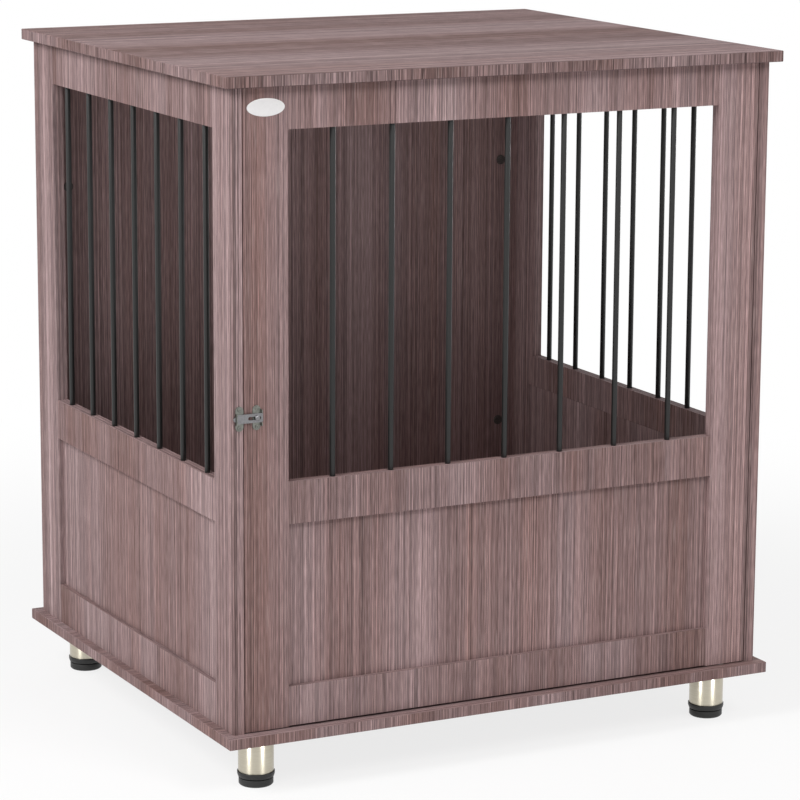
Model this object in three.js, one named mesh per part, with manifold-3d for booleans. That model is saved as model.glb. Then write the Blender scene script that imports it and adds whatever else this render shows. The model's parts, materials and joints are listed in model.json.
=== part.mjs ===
// Dog crate end table: a cabinet of laminated boards with barred windows in both sides and in the door,
// a solid back, an overhanging table top and base board, and four short metal legs with levelling glides.
//
// Millimetres, +Z up. The origin is on the floor under the middle of the table, +X is to the right of
// someone facing the door, and the door faces -Y. The table stands as it is in use, with its door shut.

import * as THREE from 'three';
import { mergeVertices } from 'three/addons/utils/BufferGeometryUtils.js';
import Module from 'manifold-3d';

const wasm = await Module();
wasm.setup();

// ---------------------------------------------------------------------------------------------
// Driving dimensions
// ---------------------------------------------------------------------------------------------

// Cabinet body, between the table top and the base board
const BODY_WIDTH = 640;
const BODY_DEPTH = 550;
const BODY_HEIGHT = 675;

// Table top and base board
const TOP_THICKNESS = 12;
const BASE_THICKNESS = 12;
const SIDE_OVERHANG = 10; // past each side of the body
const END_OVERHANG = 12; // past the front and the back of the body
const BOARD_EDGE_EASE = 0.5; // small chamfer on the edges of these two boards

// Boards of the body
const SIDE_THICKNESS = 12; // side frames
const DOOR_THICKNESS = 12;
const BACK_THICKNESS = 12;
const SIDE_STILE = 46; // visible width of an upright in a side frame
const DOOR_STILE = 50;
const BOTTOM_RAIL = 45;
const MID_RAIL = 45;
const TOP_RAIL = 45;
const LOWER_OPENING = 174.5; // height of the opening that the lower panel closes

// Lower panels, let into a rebate on the inside of their frames
const PANEL_THICKNESS = 6;
const PANEL_LAP = 8; // how far the rebate reaches past the opening

// Window bars, round rods whose ends sit in blind holes in the rails
const BAR_DIAMETER = 6;
const BAR_SEAT = 8; // length of rod inside each rail
const SIDE_BAR_COUNT = 7;
const SIDE_BAR_MARGIN = 31; // from a stile to the middle of the first rod
const DOOR_BAR_COUNT = 7;
const DOOR_BAR_MARGIN = 53;

// Door
const DOOR_GAP = 1.25; // running gap all round
const DOOR_RAIL_RELIEF = 1; // the bottom rail stops this much above the ends of the stiles
const PIVOT_INSET = 28; // from the hinge edge of the door to the pivot axis
const PIVOT_DIAMETER = 6;
const PIVOT_IN_DOOR = 20;
const PIVOT_IN_BOARD = 7;
const PIVOT_COLLAR = 11; // diameter of the thrust collar in the running gap

// Slide latch across the gap between the left side frame and the door
const LATCH_HEIGHT = 336; // middle of the latch above the base board
const SHEET = 1; // thickness of the two plates
const PLATE_HEIGHT = 26;
const KEEPER_WIDTH = 9;
const DOOR_PLATE_WIDTH = 9;
const DOOR_PLATE_SETBACK = 9; // from the door's free edge to the plate
const SCREW_SPREAD = 19; // between the two screw holes of a plate
const SCREW_HOLE = 2.5;
const FLANGE_REACH = 4.5; // how far the bent flanges stand out
const KEEPER_FLANGE_HEIGHT = 12;
const LATCH_BAR_THICKNESS = 1.5;
const LATCH_BAR_HEIGHT = 9.5;
const LATCH_BAR_TAIL = 1; // bar past the flange of the door plate
const TONGUE_HEIGHT = 5.5;
const TONGUE_REACH = 2.5; // tongue past the keeper's flange when locked
const TONGUE_SHOULDER = 1; // from the keeper's flange to the full-height part of the bar
const SLOT_HEIGHT = 3.5;
const SLOT_TRAVEL = 8.5; // how far the bar slides to the right
const SLOT_SPARE = 2.5; // slot left over on the locked side of the rivet
const RIVET_FROM_FREE_EDGE = 13.5;
const RIVET_SHANK = 3;
const RIVET_HEAD = 5.5;
const RIVET_HEAD_RISE = 1.75;

// Legs
const LEG_INSET_X = 40; // from the side of the body to the leg's axis
const LEG_INSET_Y = 33; // from the front or the back of the body to the leg's axis
const TUBE_DIAMETER = 38;
const TUBE_LENGTH = 40;
const TUBE_WALL = 1.25;
const TUBE_HEAD = 2.5; // thickness of the closed top end of the tube
const CAP_COLLAR_DIAMETER = 40;
const CAP_COLLAR_HEIGHT = 6;
const CAP_COLLAR_TAPER = 1; // the collar's lower half draws in by this much
const CAP_PLUG_LENGTH = 12;
const GLIDE_DIAMETER = 37;
const GLIDE_HEIGHT = 8;
const GLIDE_FOOT_BEVEL = 1.5;
const GLIDE_GROOVE = 1; // shadow line between the cap and the glide
const STUD_DIAMETER = 8;
const STUD_LENGTH = 24;

// Clearances and facets
const FIT = 0.25; // between a piece and the hole, slot or rebate that holds it
const ROD_SIDES = 16;
const LEG_SIDES = 40;
const SMALL_SIDES = 12;

// ---------------------------------------------------------------------------------------------
// Worked out from the driving dimensions
// ---------------------------------------------------------------------------------------------

const LEG_HEIGHT = TUBE_LENGTH + CAP_COLLAR_HEIGHT + GLIDE_GROOVE + GLIDE_HEIGHT;
const FLOOR_OF_BODY = LEG_HEIGHT + BASE_THICKNESS;
const CEILING_OF_BODY = FLOOR_OF_BODY + BODY_HEIGHT;
const INNER_WIDTH = BODY_WIDTH - 2 * SIDE_THICKNESS;
const DOOR_WIDTH = INNER_WIDTH - 2 * DOOR_GAP;
const FRONT = -BODY_DEPTH / 2;
const BACK = BODY_DEPTH / 2;
const PIVOT_X = DOOR_WIDTH / 2 - PIVOT_INSET;
const PIVOT_Y = FRONT + DOOR_THICKNESS / 2;

// ---------------------------------------------------------------------------------------------
// Materials
// ---------------------------------------------------------------------------------------------

const laminate = new THREE.MeshStandardMaterial({ color: 0x8c7673, roughness: 0.6, metalness: 0 });
const blackRod = new THREE.MeshStandardMaterial({ color: 0x2b2c2a, roughness: 0.4, metalness: 0.6 });
const satinNickel = new THREE.MeshStandardMaterial({ color: 0xcfc9b8, roughness: 0.3, metalness: 1 });
const greySteel = new THREE.MeshStandardMaterial({ color: 0x7e807a, roughness: 0.45, metalness: 0.8 });
const blackPlastic = new THREE.MeshStandardMaterial({ color: 0x2e2e2e, roughness: 0.5, metalness: 0 });

// ---------------------------------------------------------------------------------------------
// Joining and cutting
// ---------------------------------------------------------------------------------------------

/** A closed geometry as a solid that can be joined and cut. */
function solidOf(geometry) {
  const bare = geometry.clone();
  bare.deleteAttribute('normal');
  bare.deleteAttribute('uv');
  const welded = mergeVertices(bare);
  const index = welded.getIndex().array;
  const triangles = [];
  for (let i = 0; i < index.length; i += 3) {
    const [a, b, c] = [index[i], index[i + 1], index[i + 2]];
    if (a !== b && b !== c && c !== a) {
      triangles.push(a, b, c);
    }
  }
  return new wasm.Manifold(new wasm.Mesh({
    numProp: 3,
    vertProperties: new Float32Array(welded.getAttribute('position').array),
    triVerts: new Uint32Array(triangles),
  }));
}

/** A solid as a geometry with flat-shaded faces. */
function geometryOf(solid) {
  const mesh = solid.getMesh();
  const geometry = new THREE.BufferGeometry();
  geometry.setAttribute('position', new THREE.BufferAttribute(mesh.vertProperties, 3));
  geometry.setIndex(new THREE.BufferAttribute(mesh.triVerts, 1));
  const flat = geometry.toNonIndexed();
  flat.computeVertexNormals();
  return flat;
}

/** The first geometry with all the others cut out of it. */
function cut(geometry, cutters) {
  let solid = solidOf(geometry);
  for (const cutter of cutters) {
    solid = solid.subtract(solidOf(cutter));
  }
  return geometryOf(solid);
}

/** All the geometries joined into one. */
function join(geometries) {
  let solid = solidOf(geometries[0]);
  for (const geometry of geometries.slice(1)) {
    solid = solid.add(solidOf(geometry));
  }
  return geometryOf(solid);
}

// ---------------------------------------------------------------------------------------------
// Basic forms
// ---------------------------------------------------------------------------------------------

/** A box between two corners. */
function block(x0, x1, y0, y1, z0, z1) {
  const geometry = new THREE.BoxGeometry(x1 - x0, y1 - y0, z1 - z0);
  geometry.translate((x0 + x1) / 2, (y0 + y1) / 2, (z0 + z1) / 2);
  return geometry;
}

/** An upright cylinder on (x, y) from z0 to z1. */
function post(x, y, z0, z1, diameter, sides) {
  const geometry = new THREE.CylinderGeometry(diameter / 2, diameter / 2, z1 - z0, sides);
  geometry.rotateX(Math.PI / 2);
  geometry.translate(x, y, (z0 + z1) / 2);
  return geometry;
}

/** A turned piece on the Z axis, from [radius, height] pairs that run from the axis, out, up and back. */
function turned(profile, sides) {
  const points = profile.map(([radius, height]) => new THREE.Vector2(radius, height));
  const geometry = new THREE.LatheGeometry(points, sides);
  geometry.rotateX(Math.PI / 2);
  return geometry;
}

/** An outline in X and Z, made solid from the plane y = 0 outwards to y = -depth. */
function plate(outline, depth) {
  const geometry = new THREE.ExtrudeGeometry(outline, {
    depth,
    bevelEnabled: false,
    curveSegments: SMALL_SIDES / 2,
  });
  geometry.rotateX(Math.PI / 2);
  return geometry;
}

/** An outline with straight sides and half-round ends, along X or along Y of the drawing plane. */
function stadium(cx, cy, length, width, alongX) {
  const shape = new THREE.Path();
  const r = width / 2;
  const reach = length / 2 - r;
  if (alongX) {
    shape.absarc(cx + reach, cy, r, -Math.PI / 2, Math.PI / 2, false);
    shape.absarc(cx - reach, cy, r, Math.PI / 2, 1.5 * Math.PI, false);
  } else {
    shape.absarc(cx, cy + reach, r, 0, Math.PI, false);
    shape.absarc(cx, cy - reach, r, Math.PI, 2 * Math.PI, false);
  }
  shape.closePath();
  return shape;
}

/** A named mesh. */
function piece(name, geometry, material) {
  const mesh = new THREE.Mesh(geometry, material);
  mesh.name = name;
  return mesh;
}

// ---------------------------------------------------------------------------------------------
// Table top and base board
// ---------------------------------------------------------------------------------------------

/** A flat board with chamfered edges, its underside at z = 0, with a blind hole for a door pivot. */
function overhangingBoard(thickness, pivotHoleInTop) {
  const halfX = BODY_WIDTH / 2 + SIDE_OVERHANG;
  const halfY = BODY_DEPTH / 2 + END_OVERHANG;
  const outline = new THREE.Shape();
  outline.moveTo(-halfX, -halfY);
  outline.lineTo(halfX, -halfY);
  outline.lineTo(halfX, halfY);
  outline.lineTo(-halfX, halfY);
  outline.closePath();
  const board = new THREE.ExtrudeGeometry(outline, {
    depth: thickness - 2 * BOARD_EDGE_EASE,
    bevelThickness: BOARD_EDGE_EASE,
    bevelSize: BOARD_EDGE_EASE,
    bevelOffset: -BOARD_EDGE_EASE,
    bevelSegments: 1,
  });
  board.translate(0, 0, BOARD_EDGE_EASE);
  const holeDepth = PIVOT_IN_BOARD + FIT;
  const z0 = pivotHoleInTop ? thickness - holeDepth : -1;
  const z1 = pivotHoleInTop ? thickness + 1 : holeDepth;
  return cut(board, [post(PIVOT_X, PIVOT_Y, z0, z1, PIVOT_DIAMETER + 2 * FIT, ROD_SIDES)]);
}

// ---------------------------------------------------------------------------------------------
// Framed panels: both sides and the door
// ---------------------------------------------------------------------------------------------

/**
 * Two stiles, three rails, a lower panel and a row of bars. It is drawn with its outer face on y = 0 and its
 * inner face on y = thickness, from x = 0 to x = width, at heights above the base board.
 */
function framedPanel(options) {
  const { prefix, width, thickness, stiles, low, high, railRelief, bars, stileHoles } = options;
  const left = stiles[0].width;
  const right = width - stiles[1].width;
  const panelLow = BOTTOM_RAIL;
  const panelHigh = panelLow + LOWER_OPENING;
  const sill = panelHigh + MID_RAIL;
  const head = BODY_HEIGHT - TOP_RAIL;
  const rebateFloor = thickness - PANEL_THICKNESS - FIT;

  // One box takes the rebate out of all the members round the lower opening.
  const rebate = block(
    left - PANEL_LAP, right + PANEL_LAP,
    rebateFloor, thickness + 1,
    panelLow - PANEL_LAP, panelHigh + PANEL_LAP,
  );

  const pitch = (right - left - 2 * bars.margin) / (bars.count - 1);
  const barAt = (i) => left + bars.margin + i * pitch;
  const barY = thickness / 2;
  const barHole = (i, z0, z1) => post(barAt(i), barY, z0, z1, BAR_DIAMETER + 2 * FIT, ROD_SIDES);
  const eachBar = [...Array(bars.count).keys()];

  const group = new THREE.Group();
  const stileSpans = [[0, left], [right, width]];
  stiles.forEach((stile, i) => {
    const [x0, x1] = stileSpans[i];
    const holes = stile.holes ? stileHoles : [];
    const body = cut(block(x0, x1, 0, thickness, low, high), [rebate, ...holes]);
    group.add(piece(`${prefix}_${stile.name}`, body, laminate));
  });

  const bottomRail = block(left, right, 0, thickness, low + railRelief, panelLow);
  group.add(piece(`${prefix}_bottom_rail`, cut(bottomRail, [rebate]), laminate));

  const midRail = block(left, right, 0, thickness, panelHigh, sill);
  const sillHoles = eachBar.map((i) => barHole(i, sill - BAR_SEAT - FIT, sill + 1));
  group.add(piece(`${prefix}_mid_rail`, cut(midRail, [rebate, ...sillHoles]), laminate));

  const topRail = block(left, right, 0, thickness, head, high);
  const headHoles = eachBar.map((i) => barHole(i, head - 1, head + BAR_SEAT + FIT));
  group.add(piece(`${prefix}_top_rail`, cut(topRail, headHoles), laminate));

  const lap = PANEL_LAP - FIT;
  const panel = block(
    left - lap, right + lap,
    thickness - PANEL_THICKNESS, thickness,
    panelLow - lap, panelHigh + lap,
  );
  group.add(piece(`${prefix}_panel`, panel, laminate));

  for (const i of eachBar) {
    const rod = post(barAt(i), barY, sill - BAR_SEAT, head + BAR_SEAT, BAR_DIAMETER, ROD_SIDES);
    group.add(piece(`${prefix}_bar_${i + 1}`, rod, blackRod));
  }
  return group;
}

/** A side frame. The rear stile is wider, because the back panel stands against it. */
function sideFrame(prefix, isLeft) {
  const front = { name: 'front_stile', width: SIDE_STILE };
  const rear = { name: 'rear_stile', width: SIDE_STILE + BACK_THICKNESS };
  const group = framedPanel({
    prefix,
    width: BODY_DEPTH,
    thickness: SIDE_THICKNESS,
    stiles: isLeft ? [rear, front] : [front, rear],
    low: 0,
    high: BODY_HEIGHT,
    railRelief: 0,
    bars: { count: SIDE_BAR_COUNT, margin: SIDE_BAR_MARGIN },
    stileHoles: [],
  });
  const side = isLeft ? -1 : 1;
  group.rotation.z = side * Math.PI / 2;
  group.position.set(side * BODY_WIDTH / 2, isLeft ? BACK : FRONT, 0);
  return group;
}

/** The door, drawn from its free edge at x = 0 to its hinge edge. */
function doorFrame() {
  const pivotX = DOOR_WIDTH - PIVOT_INSET;
  const low = DOOR_GAP;
  const high = BODY_HEIGHT - DOOR_GAP;
  const bore = PIVOT_DIAMETER + 2 * FIT;
  const depth = PIVOT_IN_DOOR + FIT;
  return framedPanel({
    prefix: 'door',
    width: DOOR_WIDTH,
    thickness: DOOR_THICKNESS,
    stiles: [
      { name: 'latch_stile', width: DOOR_STILE },
      { name: 'hinge_stile', width: DOOR_STILE, holes: true },
    ],
    low,
    high,
    railRelief: DOOR_RAIL_RELIEF,
    bars: { count: DOOR_BAR_COUNT, margin: DOOR_BAR_MARGIN },
    stileHoles: [
      post(pivotX, DOOR_THICKNESS / 2, low - 1, low + depth, bore, ROD_SIDES),
      post(pivotX, DOOR_THICKNESS / 2, high - depth, high + 1, bore, ROD_SIDES),
    ],
  });
}

// ---------------------------------------------------------------------------------------------
// Door pivots
// ---------------------------------------------------------------------------------------------

/** A pivot pin with a thrust collar. z = 0 is the face of the board that its nose turns in. */
function pivotPin() {
  const r = PIVOT_DIAMETER / 2;
  return turned([
    [0, -PIVOT_IN_BOARD],
    [r, -PIVOT_IN_BOARD],
    [r, FIT],
    [PIVOT_COLLAR / 2, FIT],
    [PIVOT_COLLAR / 2, DOOR_GAP - FIT],
    [r, DOOR_GAP - FIT],
    [r, DOOR_GAP + PIVOT_IN_DOOR],
    [0, DOOR_GAP + PIVOT_IN_DOOR],
  ], ROD_SIDES);
}

// ---------------------------------------------------------------------------------------------
// Slide latch. Its pieces are drawn with the face of the door and of the side frame on y = 0, the
// middle of the latch on z = 0 and the door's free edge on x = 0.
// ---------------------------------------------------------------------------------------------

const KEEPER_RIGHT = -DOOR_GAP; // the keeper ends flush with the side frame's inner face
const KEEPER_LEFT = KEEPER_RIGHT - KEEPER_WIDTH;
const DOOR_PLATE_RIGHT = DOOR_PLATE_SETBACK + DOOR_PLATE_WIDTH;
const DOOR_FLANGE_RIGHT = DOOR_PLATE_RIGHT + SHEET; // the flange stands beside the plate's round ends
const LATCH_BAR_BACK = -(SHEET + FIT); // y of the bar's face next to the plates
const LATCH_BAR_FRONT = LATCH_BAR_BACK - LATCH_BAR_THICKNESS;

/** A plate with round ends and two screw holes. */
function latchPlate(x0, width) {
  const cx = x0 + width / 2;
  const outline = new THREE.Shape(stadium(cx, 0, PLATE_HEIGHT, width, false).getPoints(SMALL_SIDES / 2));
  for (const side of [-1, 1]) {
    const hole = new THREE.Path();
    hole.absarc(cx, side * SCREW_SPREAD / 2, SCREW_HOLE / 2, 0, 2 * Math.PI, false);
    outline.holes.push(hole);
  }
  return outline;
}

/** The keeper: a plate with a bent flange, and a slot through the flange for the tongue. */
function keeper() {
  const body = plate(latchPlate(KEEPER_LEFT, KEEPER_WIDTH), SHEET);
  const half = KEEPER_FLANGE_HEIGHT / 2;
  const flange = block(KEEPER_LEFT, KEEPER_LEFT + SHEET, -FLANGE_REACH, 0, -half, half);
  const slotHalf = TONGUE_HEIGHT / 2 + FIT;
  const slot = block(
    KEEPER_LEFT - 1, KEEPER_LEFT + SHEET + 1,
    LATCH_BAR_FRONT - FIT, LATCH_BAR_BACK + FIT,
    -slotHalf, slotHalf,
  );
  return cut(join([body, flange]), [slot]);
}

/** The door plate: a plate whose flange has an open notch that guides the bar. */
function doorPlate() {
  const outline = latchPlate(DOOR_PLATE_SETBACK, DOOR_PLATE_WIDTH);
  const rivetHole = new THREE.Path();
  rivetHole.absarc(RIVET_FROM_FREE_EDGE, 0, RIVET_SHANK / 2 + FIT, 0, 2 * Math.PI, false);
  outline.holes.push(rivetHole);
  const half = (PLATE_HEIGHT - DOOR_PLATE_WIDTH) / 2;
  const bend = block(DOOR_PLATE_RIGHT - SHEET, DOOR_FLANGE_RIGHT, -SHEET, 0, -half, half);
  const flange = block(DOOR_PLATE_RIGHT, DOOR_FLANGE_RIGHT, -FLANGE_REACH, 0, -half, half);
  const notchHalf = LATCH_BAR_HEIGHT / 2 + FIT;
  const notch = block(
    DOOR_PLATE_RIGHT - 1, DOOR_FLANGE_RIGHT + 1,
    -FLANGE_REACH - 1, LATCH_BAR_BACK + FIT,
    -notchHalf, notchHalf,
  );
  return cut(join([plate(outline, SHEET), bend, flange]), [notch]);
}

/** The sliding bar, locked: a round tongue through the keeper, a shoulder and a slot round the rivet. */
function latchBar() {
  const tip = KEEPER_LEFT - TONGUE_REACH;
  const shoulder = KEEPER_LEFT + SHEET + TONGUE_SHOULDER;
  const tail = DOOR_FLANGE_RIGHT + LATCH_BAR_TAIL;
  const h = LATCH_BAR_HEIGHT / 2;
  const t = TONGUE_HEIGHT / 2;
  const outline = new THREE.Shape();
  outline.moveTo(tip + t, -t);
  outline.lineTo(shoulder, -t);
  outline.lineTo(shoulder, -h);
  outline.lineTo(tail - 1, -h);
  outline.lineTo(tail, -h + 1);
  outline.lineTo(tail, h - 1);
  outline.lineTo(tail - 1, h);
  outline.lineTo(shoulder, h);
  outline.lineTo(shoulder, t);
  outline.lineTo(tip + t, t);
  outline.absarc(tip + t, 0, t, Math.PI / 2, 1.5 * Math.PI, false);
  const slotLength = SLOT_TRAVEL + SLOT_SPARE + SLOT_HEIGHT;
  const slotMiddle = RIVET_FROM_FREE_EDGE + (SLOT_SPARE - SLOT_TRAVEL) / 2;
  outline.holes.push(stadium(slotMiddle, 0, slotLength, SLOT_HEIGHT, true));
  const bar = plate(outline, LATCH_BAR_THICKNESS);
  bar.translate(0, LATCH_BAR_BACK, 0);
  return bar;
}

/** The rivet: a shank through the slot, and a domed head that keeps the bar on. */
function latchRivet() {
  const shank = RIVET_SHANK / 2;
  const head = RIVET_HEAD / 2;
  const under = -LATCH_BAR_FRONT + FIT;
  const rim = under + RIVET_HEAD_RISE / 2;
  const dome = [1, 2, 3].map((i) => {
    const angle = (i / 3) * Math.PI / 2;
    return [head * Math.cos(angle), rim + RIVET_HEAD_RISE / 2 * Math.sin(angle)];
  });
  dome[dome.length - 1][0] = 0;
  const profile = [[0, 0], [shank, 0], [shank, under], [head, under], [head, rim], ...dome];
  const rivet = turned(profile, SMALL_SIDES);
  rivet.rotateX(Math.PI / 2);
  rivet.translate(RIVET_FROM_FREE_EDGE, 0, 0);
  return rivet;
}

// ---------------------------------------------------------------------------------------------
// Legs. Each is drawn on the Z axis with its foot on z = 0.
// ---------------------------------------------------------------------------------------------

const CAP_BOTTOM = GLIDE_HEIGHT + GLIDE_GROOVE;
const TUBE_BOTTOM = CAP_BOTTOM + CAP_COLLAR_HEIGHT;
const TUBE_BORE_RADIUS = TUBE_DIAMETER / 2 - TUBE_WALL;
const STUD_BORE_RADIUS = STUD_DIAMETER / 2 + FIT;

/** A tube, open below, whose closed top end has a hole for its fixing screw. */
function legTube() {
  const outer = TUBE_DIAMETER / 2;
  const top = TUBE_BOTTOM + TUBE_LENGTH;
  return turned([
    [TUBE_BORE_RADIUS, TUBE_BOTTOM],
    [outer, TUBE_BOTTOM],
    [outer, top],
    [STUD_BORE_RADIUS, top],
    [STUD_BORE_RADIUS, top - TUBE_HEAD],
    [TUBE_BORE_RADIUS, top - TUBE_HEAD],
    [TUBE_BORE_RADIUS, TUBE_BOTTOM],
  ], LEG_SIDES);
}

/** The cap that plugs the tube, with a collar under it and a bore for the glide's stud. */
function legCap() {
  const collar = CAP_COLLAR_DIAMETER / 2;
  const plug = TUBE_BORE_RADIUS - FIT;
  const top = TUBE_BOTTOM + CAP_PLUG_LENGTH;
  return turned([
    [STUD_BORE_RADIUS, CAP_BOTTOM],
    [collar - CAP_COLLAR_TAPER, CAP_BOTTOM],
    [collar, CAP_BOTTOM + CAP_COLLAR_HEIGHT / 2],
    [collar, TUBE_BOTTOM],
    [plug, TUBE_BOTTOM],
    [plug, top],
    [STUD_BORE_RADIUS, top],
    [STUD_BORE_RADIUS, CAP_BOTTOM],
  ], LEG_SIDES);
}

/** The glide: a disc that stands on the floor, and the stud that screws into the cap. */
function legGlide() {
  const disc = GLIDE_DIAMETER / 2;
  const stud = STUD_DIAMETER / 2;
  return turned([
    [0, 0],
    [disc - GLIDE_FOOT_BEVEL, 0],
    [disc, GLIDE_FOOT_BEVEL],
    [disc, GLIDE_HEIGHT],
    [stud, GLIDE_HEIGHT],
    [stud, GLIDE_HEIGHT + STUD_LENGTH],
    [0, GLIDE_HEIGHT + STUD_LENGTH],
  ], LEG_SIDES);
}

// ---------------------------------------------------------------------------------------------
// Assembly
// ---------------------------------------------------------------------------------------------

const table = new THREE.Group();

const baseBoard = piece('base_board', overhangingBoard(BASE_THICKNESS, true), laminate);
baseBoard.position.z = LEG_HEIGHT;
const tableTop = piece('table_top', overhangingBoard(TOP_THICKNESS, false), laminate);
tableTop.position.z = CEILING_OF_BODY;
table.add(baseBoard, tableTop);

const body = new THREE.Group();
body.position.z = FLOOR_OF_BODY;
table.add(body);

const backPanel = block(-INNER_WIDTH / 2, INNER_WIDTH / 2, BACK - BACK_THICKNESS, BACK, 0, BODY_HEIGHT);
body.add(piece('back_panel', backPanel, laminate));
body.add(sideFrame('left_side', true), sideFrame('right_side', false));

const door = doorFrame();
door.position.set(-DOOR_WIDTH / 2, FRONT, 0);
body.add(door);

const bottomPivot = piece('door_bottom_pivot', pivotPin(), greySteel);
bottomPivot.position.set(PIVOT_X, PIVOT_Y, 0);
const topPivot = piece('door_top_pivot', pivotPin(), greySteel);
topPivot.position.set(PIVOT_X, PIVOT_Y, BODY_HEIGHT);
topPivot.rotation.x = Math.PI;
body.add(bottomPivot, topPivot);

const latch = new THREE.Group();
latch.position.set(-DOOR_WIDTH / 2, FRONT, LATCH_HEIGHT);
latch.add(piece('latch_keeper', keeper(), greySteel));
latch.add(piece('latch_plate', doorPlate(), greySteel));
latch.add(piece('latch_bar', latchBar(), greySteel));
latch.add(piece('latch_rivet', latchRivet(), greySteel));
body.add(latch);

const legPlaces = { front_left: [-1, -1], front_right: [1, -1], back_left: [-1, 1], back_right: [1, 1] };
for (const [place, [sideX, sideY]] of Object.entries(legPlaces)) {
  const leg = new THREE.Group();
  leg.position.set(sideX * (BODY_WIDTH / 2 - LEG_INSET_X), sideY * (BODY_DEPTH / 2 - LEG_INSET_Y), 0);
  leg.add(piece(`${place}_leg_tube`, legTube(), satinNickel));
  leg.add(piece(`${place}_leg_cap`, legCap(), blackPlastic));
  leg.add(piece(`${place}_leg_glide`, legGlide(), blackPlastic));
  table.add(leg);
}

export default table;
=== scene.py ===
"""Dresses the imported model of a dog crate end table, and lights it as in a studio.

Lengths are in metres in the model's own frame: the floor is z = 0, the door faces -Y, and +X is to
the right of someone who faces the door. Sizes that are easier to read in millimetres are multiplied
by MM.
"""

import json
import logging
import math
from dataclasses import dataclass
from enum import Enum
from typing import Any

import bmesh
import bpy
from mathutils import Matrix, Vector


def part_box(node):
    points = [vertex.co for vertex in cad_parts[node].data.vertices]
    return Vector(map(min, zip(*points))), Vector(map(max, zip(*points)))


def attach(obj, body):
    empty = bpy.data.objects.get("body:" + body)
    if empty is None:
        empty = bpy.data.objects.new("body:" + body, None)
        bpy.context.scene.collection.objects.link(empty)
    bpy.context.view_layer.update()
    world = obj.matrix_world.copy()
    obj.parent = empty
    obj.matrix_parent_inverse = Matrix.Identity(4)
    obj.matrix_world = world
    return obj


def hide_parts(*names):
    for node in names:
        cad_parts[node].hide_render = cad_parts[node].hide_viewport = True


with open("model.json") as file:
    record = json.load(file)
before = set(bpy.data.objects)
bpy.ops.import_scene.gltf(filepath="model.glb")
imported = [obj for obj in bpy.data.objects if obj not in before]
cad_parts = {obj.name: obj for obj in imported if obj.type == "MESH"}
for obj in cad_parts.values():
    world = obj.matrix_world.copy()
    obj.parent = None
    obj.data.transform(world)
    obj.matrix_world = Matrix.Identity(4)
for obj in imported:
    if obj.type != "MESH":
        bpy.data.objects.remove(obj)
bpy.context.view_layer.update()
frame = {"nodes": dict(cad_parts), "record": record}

MM = 0.001
MM_PER_M = 1000.0
# Points of a turned piece that are closer than this are the same point.
WELD = 0.001 * MM
WHITE = (1.0, 1.0, 1.0, 1.0)
LEG_PLACES = ("front_left", "front_right", "back_left", "back_right")
LOG = logging.getLogger("crate_table")


# --------------------------------------------------------------------------------------------------
# Colours and nodes
# --------------------------------------------------------------------------------------------------


def linear(code: str) -> tuple[float, float, float, float]:
    """Turns an sRGB hex colour into linear light.

    Args:
        code: Six hex digits, with or without a leading #.

    Returns:
        Red, green, blue and an alpha of 1.
    """
    digits = code.lstrip("#")
    parts = []
    for i in (0, 2, 4):
        value = int(digits[i : i + 2], 16) / 255
        # The sRGB curve: straight for the darkest values, and a power above them.
        parts.append(value / 12.92 if value <= 0.04045 else ((value + 0.055) / 1.055) ** 2.4)
    return parts[0], parts[1], parts[2], 1.0


def add_node(
    tree: bpy.types.NodeTree,
    kind: str,
    links: dict[int | str, bpy.types.NodeSocket] | None = None,
    values: dict[int | str, Any] | None = None,
    **settings: Any,
) -> bpy.types.Node:
    """Adds one node to a tree.

    Args:
        tree: The material's or the world's node tree.
        kind: The node's type name.
        links: Input name or number to the socket that feeds it.
        values: Input name or number to its constant.
        **settings: The node's own properties.

    Returns:
        The new node.
    """
    node = tree.nodes.new(kind)
    for name, value in settings.items():
        setattr(node, name, value)
    for key, value in (values or {}).items():
        node.inputs[key].default_value = value
    for key, socket in (links or {}).items():
        tree.links.new(socket, node.inputs[key])
    return node


def new_material(name: str) -> tuple[bpy.types.Material, bpy.types.NodeTree, bpy.types.Node]:
    """Makes a material with one principled shader.

    Args:
        name: The material's name.

    Returns:
        The material, its node tree and its shader.
    """
    material = bpy.data.materials.new(name)
    material.use_nodes = True
    tree = material.node_tree
    return material, tree, tree.nodes["Principled BSDF"]


# --------------------------------------------------------------------------------------------------
# Finishes
# --------------------------------------------------------------------------------------------------


class Grain(Enum):
    """Which way the printed grain runs on a board's level faces. On upright ones it runs up."""

    ALONG_X = "x"
    ALONG_Y = "y"


@dataclass(frozen=True)
class Layer:
    """One layer of the print: streaks of a width and a length, and how much they count.

    The seed shifts a layer so that it is unlike the others. A layer of cells has streaks with
    straight edges. Any other is a smooth noise, with as many finer noises on it as its detail says.
    """

    width_mm: float
    length_mm: float
    share: float
    seed: float
    cells: bool = False
    detail: float = 0.0


@dataclass(frozen=True)
class Lines:
    """Thin lines in the print, which a layer draws where it rises from a low to a high value."""

    layer: Layer
    low: float
    high: float
    colour: str


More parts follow.
